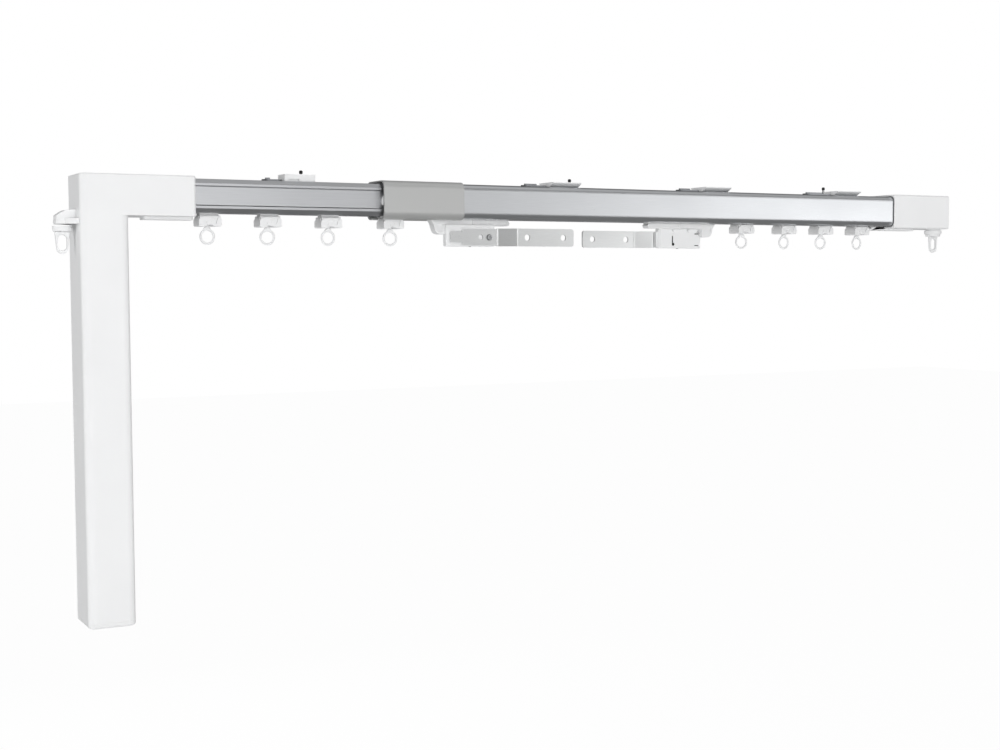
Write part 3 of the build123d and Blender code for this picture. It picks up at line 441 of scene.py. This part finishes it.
for side, spots in glider["places"].items():
    for count, x in enumerate(spots, 1):
        piece = copyPiece(gliderBody, f"{side}Glider{count}", (x, 0, 0))
        finishPiece(piece, f"{side}_runner_{count}", "white_nylon", f"{side}_glider_{count}")
        piece = copyPiece(ringModel, f"{side}Ring{count}", (x, 0, 0), ring["turns"][side][count - 1])
        finishPiece(piece, f"{side}_eyelet_{count}", "white_nylon", f"{side}_ring_{count}", smooth=45)
bpy.data.objects.remove(gliderBody)
bpy.data.objects.remove(ringModel)
print("gliders hung")


# leading carriers with their wheels, arms and screws; the right one is the left one turned half way round

carrier = {
    "places": {"left": -90.7, "right": 127.3}, "half": 4.6, "edge": (0.35, 3), "lowerEdge": (0.18, 2, 40),
    "bar": [(-41.5, -34.9), (34.0, -34.9), (36.0, -37.0), (34.8, -39.2), (33.6, -39.6), (-26.0, -39.6),
            (-26.0, -47.4), (-32.4, -47.4), (-34.8, -46.9), (-36.4, -45.6), (-37.4, -43.6), (-38.6, -39.4),
            (-39.6, -37.4)],
    "channel": ((0.6, -37.7), (32.5, -36.5)), "joint": ((-1.6, -40.6), (-0.9, -33.9)), "channelBack": 4.15,
    "tail": [(-36.6, -38.2), (-30.5, -38.2), (-30.5, -45.4), (-33.8, -45.4), (-35.5, -43.9)], "tailBack": 4.0,
    "lower": ((-28.3, -7.3, -57.9), (19.5, -1.0, -39.2)), "lowerCorner": 0.9,
    "seat": ((-25.4, -8.3, -56.8), (21.0, -6.95, -41.4)), "seatCorner": 1.0,
    "screwHole": (1.6, (13.4, -9, -49.8), (13.4, -1.8, -49.8), 28),  # bars: radius, two ends and sides
    "bellyHole": (1.2, (-4.3, -5.4, -59), (-4.3, -5.4, -53.0), 24),
    "peg": (2.1, (4.9, -6.2, -49.8), (4.9, -7.75, -49.8), 32),
    "keySlot": ((3.3, -2.6, -53.0), (4.6, 0, -46.2)), "keyEnd": (1.5, (3.2, -2.6, -54.1), (3.2, 0, -54.1), 28),
    "slits": (((-29.5, -2.6, -44.7), (-21.4, 0, -43.7)), ((-29.5, -2.6, -55.7), (-21.4, 0, -54.7))),
    "step": ((17.9, -1.8, -58.9), (20.5, 0, -40.8)), "rib": ((18.5, -7.1, -57.2), (21.2, -2.9, -42.4)),
    "bumps": (3.1, -13.8), "bumpRadius": 1.4, "bumpHeight": -41.2, "bumpSpan": (-1.3, 1.4),
    "bumpEdge": (0.35, 3),
    "spine": ((-35, -4.2, -35.4), (35, 4.2, -23.5)), "spineEdge": (0.4, 3, 40), "axleHole": 1.25}
dark = {"keyEnd": (1.35, (3.2, -2.7, -54.1), (3.2, -1.15, -54.1), 28),  # black blocks painted as shade at the bottom of the key slot and the slits
        "blocks": (((3.5, -2.7, -52.6), (4.4, -1.3, -46.4)), ((-25.6, -2.7, -44.55), (-21.5, -1.25, -43.85)),
                   ((-25.6, -2.7, -55.55), (-21.5, -1.25, -54.85)))}
wheel = {"radius": 4.0, "near": 4.7, "far": 9.0, "axle": 1.2, "height": -27.5, "along": 26.0,
         "corner": 0.5, "dish": 3.0, "dishBack": 8.3, "boss": 1.9}
carrierModel = drawSolid("carrierModel", carrier["bar"], "Y", -carrier["half"], carrier["half"])
soften(carrierModel, *carrier["edge"])
for side in (-1, 1):  # long channel in the bar, the joint in it, and the recess in the tail
    out = side * (carrier["half"] + 1)
    for name in ("channel", "joint"):
        (x0, z0), (x1, z1) = carrier[name]
        cut(carrierModel, startBlock(name, (x0, side * carrier["channelBack"], z0), (x1, out, z1)))
    cut(carrierModel, drawSolid("tail", carrier["tail"], "Y", side * carrier["tailBack"], out))
lower = startBlock("lower", *carrier["lower"])
foot = carrier["lower"][0][2] + 1  # only the edges of the lower face lie below it
roundEdges(lower, carrier["lowerCorner"], lambda p, q: abs(p.z - q.z) > 5 or max(p.z, q.z) < foot, 4)
weld(carrierModel, lower)
seat = startBlock("seat", *carrier["seat"])
roundEdges(seat, carrier["seatCorner"], lambda p, q: abs(p.y - q.y) > 0.5, 3)
cut(carrierModel, seat)
for name in ("screwHole", "bellyHole"):
    cut(carrierModel, startBar(name, *carrier[name]))
weld(carrierModel, startBar("peg", *carrier["peg"]))
cut(carrierModel, startBlock("keySlot", *carrier["keySlot"]))  # on the back face
cut(carrierModel, startBar("keyEnd", *carrier["keyEnd"]))
for slit in carrier["slits"]:
    cut(carrierModel, startBlock("slit", *slit))
cut(carrierModel, startBlock("step", *carrier["step"]))
weld(carrierModel, startBlock("rib", *carrier["rib"]))
soften(carrierModel, *carrier["lowerEdge"])
for x in carrier["bumps"]:
    inside, outside = ((x, y, carrier["bumpHeight"]) for y in carrier["bumpSpan"])
    bump = startBar("bump", carrier["bumpRadius"], inside, outside, 28)
    joinUp(carrierModel, soften(bump, *carrier["bumpEdge"]))
spine = startBlock("spine", *carrier["spine"])
for x in (-wheel["along"], wheel["along"]):
    cut(spine, startBar("axleHole", carrier["axleHole"], (x, -6, wheel["height"]), (x, 6, wheel["height"]), 28))
joinUp(carrierModel, soften(spine, *carrier["spineEdge"]))
# painted shade: black pieces that darken the end of the key slot and the two slits
darkModel = startBar("darkModel", *dark["keyEnd"])
for corners in dark["blocks"]:
    joinUp(darkModel, startBlock("dark", *corners))

arm = {"start": -24.5, "tongue": -13.0, "bendOne": 21.5, "bendTwo": 38.2, "end": 95.3, "front": -7.35,
       "thick": 1.3, "step": 7.0, "middle": -49.8, "height": 15.6, "seat": 12.8, "tongueHeight": 9.1,
       "seatEnd": 21.1, "clear": 12, "bendCorner": 1.1, "endCorner": 2.4, "edge": (0.16, 2, 40),
       "holes": ((84.5, 2.75), (47.7, 2.75), (13.4, 1.6), (4.9, 2.3))}  # places and radii
slope = math.atan2(arm["step"], arm["bendTwo"] - arm["bendOne"])
lead = arm["thick"] * math.tan(slope / 2) / 2  # half of the mitre at each bend
inner, outer = arm["front"], arm["front"] - arm["thick"]
low, high = arm["middle"] - arm["height"] / 2, arm["middle"] + arm["height"] / 2
armModel = drawSolid("armModel", [
    (arm["start"], inner), (arm["bendOne"] + lead, inner), (arm["bendTwo"] + lead, inner - arm["step"]),
    (arm["end"], inner - arm["step"]), (arm["end"], outer - arm["step"]),
    (arm["bendTwo"] - lead, outer - arm["step"]), (arm["bendOne"] - lead, outer), (arm["start"], outer)],
    "Z", low, high)
roundEdges(armModel, arm["bendCorner"], lambda p, q: (
    abs(p.z - q.z) > 5 and arm["start"] + 5 < p.x < arm["end"] - 5), 5)
roundEdges(armModel, arm["endCorner"], lambda p, q: (
    abs(p.y - q.y) > 1 and abs(p.x - q.x) < 0.1 and p.x > arm["end"] - 1), 6)
for side in (-1, 1):  # the strip gets narrower in two steps towards its tongue
    far = arm["middle"] + side * arm["clear"]
    for height, end in ((arm["tongueHeight"], arm["tongue"]), (arm["seat"], arm["seatEnd"])):
        near = arm["middle"] + side * height / 2
        cut(armModel, startBlock("trim", (arm["start"] - 2, -11, near), (end, -5, far)))
for x, radius in arm["holes"]:
    cut(armModel, startBar("hole", radius, (x, -20, arm["middle"]), (x, -5, arm["middle"])))
soften(armModel, *arm["edge"])

screw = {"place": 13.4, "front": -8.65, "end": -2.0, "radius": 2.7, "head": 1.4, "core": 1.5, "corner": 0.75,
         "cross": (3.2, 0.7), "crossDepth": 0.55}
x, z = screw["place"], arm["middle"]
screwModel = startBar("screwModel", screw["radius"], (x, screw["front"], z),
                      (x, screw["front"] - screw["head"], z), 40)
roundEdges(screwModel, screw["corner"], lambda p, q: p.y < screw["front"] - 1 and q.y < screw["front"] - 1, 5)
for wide, tall in (screw["cross"], screw["cross"][::-1]):
    cut(screwModel, startBlock("cross", (x - wide / 2, screw["front"] - 2, z - tall / 2),
                               (x + wide / 2, screw["front"] - screw["crossDepth"], z + tall / 2)))
joinUp(screwModel, startBar("core", screw["core"], (x, screw["front"], z), (x, screw["end"], z), 32))

belly = {"radius": 1.1, "from": (-4.3, -5.4, -53.2), "to": (-4.3, -5.4, -58.2), "edge": 0.12,
         "slot": ((-5.6, -5.65, -58.6), (-3.0, -5.15, -57.6))}
bellyScrew = startBar("bellyScrew", belly["radius"], belly["from"], belly["to"], 28)
cut(bellyScrew, startBlock("slot", *belly["slot"]))
soften(bellyScrew, belly["edge"])

z = wheel["height"]
wheelModel = startBar("wheelModel", wheel["axle"], (0, -wheel["far"], z), (0, wheel["far"], z), 28)
for side in (-1, 1):  # each tyre has a dished face with a boss
    near, dish, far = side * wheel["near"], side * wheel["dishBack"], side * wheel["far"]
    tyre = startBar("tyre", wheel["radius"], (0, near, z), (0, far, z), 56)
    roundEdges(tyre, wheel["corner"], lambda p, q: abs(p.y - q.y) < 0.1, 3)
    hollow = startBar("hollow", wheel["dish"], (0, dish, z), (0, far + side, z))
    cut(hollow, startBar("boss", wheel["boss"], (0, dish - side, z), (0, far + 2 * side, z), 40))
    joinUp(wheelModel, cut(tyre, hollow))

for side, x in carrier["places"].items():
    turn, way = (0, 1) if side == "left" else (180, -1)
    body = side + "_leader"
    finishPiece(copyPiece(carrierModel, side + "Carrier", (x, 0, 0), turn), body, "white_plastic",
                side + "_carrier", finish="white_nylon")
    for model, name, slot, stoodFor in (
            (armModel, "Arm", "arm_steel", [side + "_arm"]),
            (screwModel, "ArmScrew", "screw_steel", [side + "_arm_screws"]),
            (bellyScrew, "BellyScrew", "black_screw", []), (darkModel, "BackScrews", "black_screw", [])):
        finishPiece(copyPiece(model, side + name, (x, 0, 0), turn), body, slot, *stoodFor)
    for name, along in (("inner", way * wheel["along"]), ("outer", -way * wheel["along"])):
        finishPiece(copyPiece(wheelModel, f"{side}{name.title()}Wheels", (x + along, 0, 0)),
                    f"{side}_{name}_wheelset", "wheel_nylon", f"{side}_carrier_wheels_{name}")
for model in (carrierModel, armModel, screwModel, bellyScrew, darkModel, wheelModel):
    bpy.data.objects.remove(model)
print("carriers hung")


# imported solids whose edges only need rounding

rail = {"face": 11.75, "grooves": ((-11.8, 0.42, 0.55), (-27.0, 0.62, 0.95))}  # height, half width and depth
innerRail = copyNode("innerRail", "inner_rail")  # the grooves beside the recess run to a dark point
start, end = (corner.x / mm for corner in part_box("inner_rail"))
for side in (-1, 1):
    for z, tall, deep in rail["grooves"]:
        face, bottom = side * rail["face"], side * (rail["face"] - deep)
        groove = [(face, z - tall), (face, z + tall), (bottom, z)]
        cut(innerRail, drawSolid("groove", groove, "X", start - 1, end + 1))
finishPiece(innerRail, "drive_head", "satin_aluminium", "inner_rail")

sleeveEnd = {"corner": 1.15, "side": 17.2, "top": -4.45, "low": -34.45, "slot": 8.3, "edge": 0.2}
sleeve = copyNode("sleeve", "coupling_sleeve")
mouth, right = (corner.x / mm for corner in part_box("coupling_sleeve"))
roundEdges(sleeve, sleeveEnd["corner"], lambda p, q: min(p.x, q.x) > right - 0.1 and (
    max(abs(p.y), abs(q.y)) > sleeveEnd["side"] or max(p.z, q.z) > sleeveEnd["top"]
    or (min(p.z, q.z) < sleeveEnd["low"] and abs(p.y) > sleeveEnd["slot"])), 5)
soften(sleeve, sleeveEnd["edge"])
finishPiece(sleeve, "track", "sleeve_grey", "coupling_sleeve")

opening = {"pads": ((-3, -17.5, -23.9), (12, 17.5, -15.9)), "space": ((-5, -25, -45), (7.5, 25, 5)), "edge": 0.25}
guide = copyNode("guide", "sleeve_guide")  # the mouth stays open and dark round the two pads
pads, space = (startBlock(name, *((mouth + x, y, z) for x, y, z in opening[name])) for name in ("pads", "space"))
cut(guide, cut(space, pads))
soften(guide, opening["edge"])
finishPiece(guide, "track", "white_plastic", "sleeve_guide")

rounded = {  # node: rounding, body, material slot
    "drive_housing": (0.45, "drive_head", "white_plastic"), "end_cap": (0.3, "track", "white_plastic"),
    "bottom_cap": (0.3, "drive_head", "white_plastic"), "power_inlet": (0.2, "drive_head", "black_plastic"),
    "setting_button": (0.3, "drive_head", "white_plastic"), "idler_plate": (0.35, "track", "white_plastic"),
    "drive_plate": (0.35, "drive_head", "white_plastic"),
    "inner_bracket_plate": (0.2, "drive_head", "white_plastic"),
    "outer_bracket_plates": (0.2, "track", "white_plastic"),
    "inner_cam_lever": (0.3, "inner_lever", "lever_steel"),
    "second_cam_lever": (0.3, "second_lever", "lever_steel"),
    "third_cam_lever": (0.3, "third_lever", "lever_steel"),
    "fourth_cam_lever": (0.3, "fourth_lever", "lever_steel")}
for node, (width, body, slot) in rounded.items():
    finishPiece(soften(copyNode(camel(node), node), width, 3), body, slot, node)
print("edges rounded")


# end hooks: the left arm has a wider foot, and both loops have wide holes

hookArm = {
    "foot": [(-433.7, -8.1), (-448.8, -8.1), (-450.0, -2.0), (-449.0, 3.0), (-446.0, 8.1), (-433.7, 8.1)],
    "footSpan": (-43.0, -40.1),
    "upper": [(-433.7, -7.75), (-448.45, -7.75), (-449.65, -2.0), (-448.65, 3.0), (-446.0, 7.75), (-433.7, 7.75)],
    "upperSpan": (-40.1, -28), "edge": (0.15, 2, 25),
    "slope": [(-430, -31.4), (-441.7, -32.4), (-448.7, -36.6), (-453, -39.6), (-453, -46), (-430, -46)],
    "flange": [(-433.7, -19), (-435.2, -19), (-442.5, -8.1), (-442.5, 8.1), (-435.2, 19), (-433.7, 19)],
    "flangeSpan": (-43.0, -38.7), "flangeEdge": (0.2, 2, 20)}
hookPiece = drawSolid("hookArm", hookArm["foot"], "Z", *hookArm["footSpan"])
upper = drawSolid("upper", hookArm["upper"], "Z", *hookArm["upperSpan"])
combine(upper, drawSolid("slope", hookArm["slope"], "Y", -12, 12), "INTERSECT")
soften(upper, *hookArm["edge"])
soften(hookPiece, *hookArm["edge"])
flange = drawSolid("flange", hookArm["flange"], "Z", *hookArm["flangeSpan"])
joinUp(hookPiece, upper, soften(flange, *hookArm["flangeEdge"]))
finishPiece(hookPiece, "drive_head", "white_plastic", "left_hook_arm")

collars = {  # node: body, place, top, and rings of radius and height below the top
    "left_hook_collar": ("drive_head", (-443.0, 0), -43.0, (
        (7.2, 0.0), (7.2, -0.3), (7.5, -0.5), (7.4, -1.4), (6.9, -5.3), (6.5, -5.7))),
    "right_hook_collar": ("track", (446.3, -6.0), None, (
        (7.6, 0.0), (7.6, -1.1), (8.8, -1.5), (8.9, -2.6), (8.7, -4.4), (7.4, -5.6), (7.2, -7.6)))}
bore = {"radius": 1.9, "from": -12, "to": -1.2}
for node, (body, (x, y), top, rings) in collars.items():
    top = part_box(node)[1].z / mm if top is None else top
    tiers = [startBar(camel(node), narrow, (x, y, top + low), (x, y, top + high), 72, wide)
             for (wide, high), (narrow, low) in zip(rings, rings[1:])]
    collarPiece = tiers[0]
    for tier in tiers[1:]:
        weld(collarPiece, tier)
    cut(collarPiece, startBar("bore", bore["radius"], (x, y, top + bore["from"]), (x, y, top + bore["to"]), 40))
    finishPiece(collarPiece, body, "white_plastic", node, smooth=50)

loops = {  # the stem ends at the top, and the hole starts by the drop below it
    "left_hook_loop": {"body": "left_hook", "place": (-443.0, 0), "stem": 4.5, "wide": 11.4, "narrow": 9.0,
                       "holeWide": 6.8, "holeTall": 12.0, "drop": 2.2},
    "right_hook_loop": {"body": "right_hook", "place": (446.3, -6.0), "stem": 6.4, "wide": 11.0, "narrow": 9.4,
                        "holeWide": 6.6, "holeTall": 11.4, "drop": 1.8}}
strip = {"half": 1.5, "edge": (0.55, 3, 40), "stemRadius": 1.5}
for node, loop in loops.items():
    x, y = loop["place"]
    low, stemTop = (corner.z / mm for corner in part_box(node))
    top = stemTop - loop["stem"]
    bend, eye = loop["narrow"] / 2, loop["holeWide"] / 2
    outline = [(x - loop["wide"] / 2, top), (x + loop["wide"] / 2, top)] + arc(x, low + bend, bend, 0, -1)
    loopPiece = drawSolid(camel(node), outline, "Y", y - strip["half"], y + strip["half"])
    holeTop = top - loop["drop"]
    hole = arc(x, holeTop - eye, eye, 0, 1) + arc(x, holeTop - loop["holeTall"] + eye, eye, 1, 2)
    cut(loopPiece, drawSolid("hole", hole, "Y", y - 3, y + 3))
    soften(loopPiece, *strip["edge"])
    joinUp(loopPiece, startBar("stem", strip["stemRadius"], (x, y, top - 0.5), (x, y, stemTop), 32))
    finishPiece(loopPiece, loop["body"], "white_nylon", node, smooth=45)
print("end hooks hung")


# what stands up towards the ceiling: a dark rounded point on a slimmer bright shank

points = {  # node: body, place along the rail, the shank's foot and the point's foot
    "inner_bracket_screw": ("drive_head", -248.4, -5.9, 0.6), "second_bracket_screw": ("track", 9.5, -4.3, 0.6),
    "fourth_lever_pin": ("fourth_lever", 304.5, -2.8, 0.7)}
dart = {"radius": 1.5, "top": 3.85, "tip": 1.1, "shank": 1.0, "inPoint": 0.9, "head": 2.6, "headTall": 1.0,
        "headEdge": 0.25}
for node, (body, x, low, foot) in points.items():
    point = startBar(camel(node), dart["radius"], (x, 0, foot), (x, 0, dart["top"]), 32)
    roundEdges(point, dart["tip"], lambda p, q: abs(p.z - q.z) < 0.1, 5)
    finishPiece(point, body, "black_screw", node)
    shank = startBar("shank", dart["shank"], (x, 0, low), (x, 0, foot + dart["inPoint"]), 24)
    if node.endswith("screw"):
        screwHead = startBar("head", dart["head"], (x, 0, low), (x, 0, low + dart["headTall"]), 40)
        joinUp(shank, soften(screwHead, dart["headEdge"]))
    finishPiece(shank, body, "screw_steel")
print("screws pointed")


# camera, room and lamps

view = {"turn": -28.049, "rise": 3.742, "roll": -0.192, "lens": 53.72, "sensor": 36, "clip": 60,
        "place": (-687.4, -1172.7, -84.9)}
bpy.ops.object.camera_add()
camera = bpy.context.object
turned = (Matrix.Rotation(math.radians(view["turn"]), 4, "Z")
          @ Matrix.Rotation(math.radians(90 - view["rise"]), 4, "X"))
camera.matrix_world = (Matrix.Translation(Vector(view["place"]) * mm) @ turned
                       @ Matrix.Rotation(math.radians(view["roll"]), 4, "Z"))
camera.data.lens = view["lens"]
camera.data.sensor_width = view["sensor"]
camera.data.sensor_fit = "HORIZONTAL"
camera.data.clip_end = view["clip"]
scene.camera = camera

room = {"ambient": 0.5, "shine": 0.72, "white": (1, 1, 1, 1),
        "levels": ((0.0, 1.0), (0.14, 0.06), (0.38, 0.22), (1.0, 1.0)),  # height and brightness
        "behind": {"From Min": -0.1, "From Max": 0.4, "To Min": 1.0, "To Max": 0.3},
        "floor": -1150, "floorSize": 24, "floorColour": (0.85, 0.85, 0.85), "floorRough": 0.8,
        "floorShine": 0.2, "floorGlow": 0.97}


def seenRays(tree, rays):  # 1 for what the camera sees, also through glass
    either = addNode(tree, "Math", operation="MAXIMUM")
    tree.links.new(rays.outputs["Is Camera Ray"], either.inputs[0])
    tree.links.new(rays.outputs["Is Transmission Ray"], either.inputs[1])
    return either.outputs[0]


def mixShaders(tree, share, first, second):
    mix = addNode(tree, "MixShader")
    tree.links.new(share, mix.inputs["Fac"])
    tree.links.new(first.outputs[0], mix.inputs[1])
    tree.links.new(second.outputs[0], mix.inputs[2])
    return mix


world = scene.world or bpy.data.worlds.new("Studio")
scene.world = world
world.use_nodes = True
air = world.node_tree
air.nodes.clear()
rays = addNode(air, "LightPath")
ambient = addNode(air, "Background", {"Strength": room["ambient"], "Color": room["white"]})
white = addNode(air, "Background", {"Strength": 1.0, "Color": room["white"]})
shine = addNode(air, "Background", {"Strength": room["shine"]})  # what metal shows: dark bands beside the horizon
around = addNode(air, "TexCoord")
towards = addNode(air, "SeparateXYZ")
height = addNode(air, "Math", operation="ABSOLUTE")
fade = addNode(air, "ValToRGB")
stops = fade.color_ramp.elements
for place, level in room["levels"]:
    stop = stops[0] if place == 0 else stops[-1] if place == 1 else stops.new(place)
    stop.color = (level, level, level, 1)
behind = addNode(air, "MapRange", room["behind"])  # the room is darker behind the track than in front of it
dimmed = addNode(air, "VectorMath", operation="MULTIPLY")
air.links.new(around.outputs["Generated"], towards.inputs[0])
air.links.new(towards.outputs["Z"], height.inputs[0])
air.links.new(height.outputs[0], fade.inputs["Fac"])
air.links.new(towards.outputs["Y"], behind.inputs["Value"])
air.links.new(fade.outputs["Color"], dimmed.inputs[0])
air.links.new(behind.outputs["Result"], dimmed.inputs[1])
air.links.new(dimmed.outputs[0], shine.inputs["Color"])
glossy = mixShaders(air, rays.outputs["Is Glossy Ray"], ambient, shine)
seen = mixShaders(air, seenRays(air, rays), glossy, white)
air.links.new(seen.outputs[0], addNode(air, "OutputWorld").inputs["Surface"])

bpy.ops.object.select_all(action="DESELECT")
bpy.ops.mesh.primitive_plane_add(size=room["floorSize"], location=(0, 0, room["floor"] * mm))
floor = settle(bpy.context.object)
floor.name = "floor"
paint, tree, shader = newFinish("Floor pale", room["floorColour"], room["floorRough"])
rays = addNode(tree, "LightPath")
glow = addNode(tree, "Emission", {"Strength": 1.0})
dim = addNode(tree, "Emission", {"Strength": room["floorShine"]})
share = addNode(tree, "Math", {1: room["floorGlow"]}, "MULTIPLY")
tree.links.new(seenRays(tree, rays), share.inputs[0])
pale = mixShaders(tree, share.outputs[0], shader, glow)
inMetal = mixShaders(tree, rays.outputs["Is Glossy Ray"], pale, dim)
tree.links.new(inMetal.outputs[0], tree.nodes["Material Output"].inputs["Surface"])
floor.data.materials.append(paint)

lamps = {  # some light the object, some only show in its metal as the cards of a studio do
    "right card": {"place": (2450, -2050, 200), "aim": (60, 0, -20), "size": 2.1, "power": 15, "show": "shine"},
    "front card": {"place": (60, -2600, 150), "aim": (-260, 0, -20), "size": 1.1, "power": 5, "show": "shine"},
    "front softbox": {"place": (-650, -2800, 50), "aim": (-60, 0, -150), "size": 1.6, "power": 20, "show": "light"},
    "left softbox": {"place": (-2700, 300, 0), "aim": (-400, 0, -150), "size": 1.2, "power": 15, "show": "light"},
    "top softbox": {"place": (-200, -700, 1500), "aim": (0, 0, 0), "size": 1.6, "power": 6, "show": "light"},
    "low softbox": {"place": (-600, -2300, -900), "aim": (0, 0, -20), "size": 1.2, "power": 13, "show": "light"},
    "back softbox": {"place": (300, 2600, 300), "aim": (0, 0, -150), "size": 1.8, "power": 20, "show": "light"},
}
for name, lamp in lamps.items():
    bpy.ops.object.light_add(type="AREA", location=[length * mm for length in lamp["place"]])
    light = bpy.context.object
    light.name = name
    light.data.size = lamp["size"]
    light.data.energy = lamp["power"]
    light.visible_glossy = lamp["show"] != "light"
    light.visible_diffuse = lamp["show"] != "shine"
    light.rotation_euler = (Vector(lamp["aim"]) - Vector(lamp["place"])).to_track_quat("-Z", "Y").to_euler()
print("room lit")
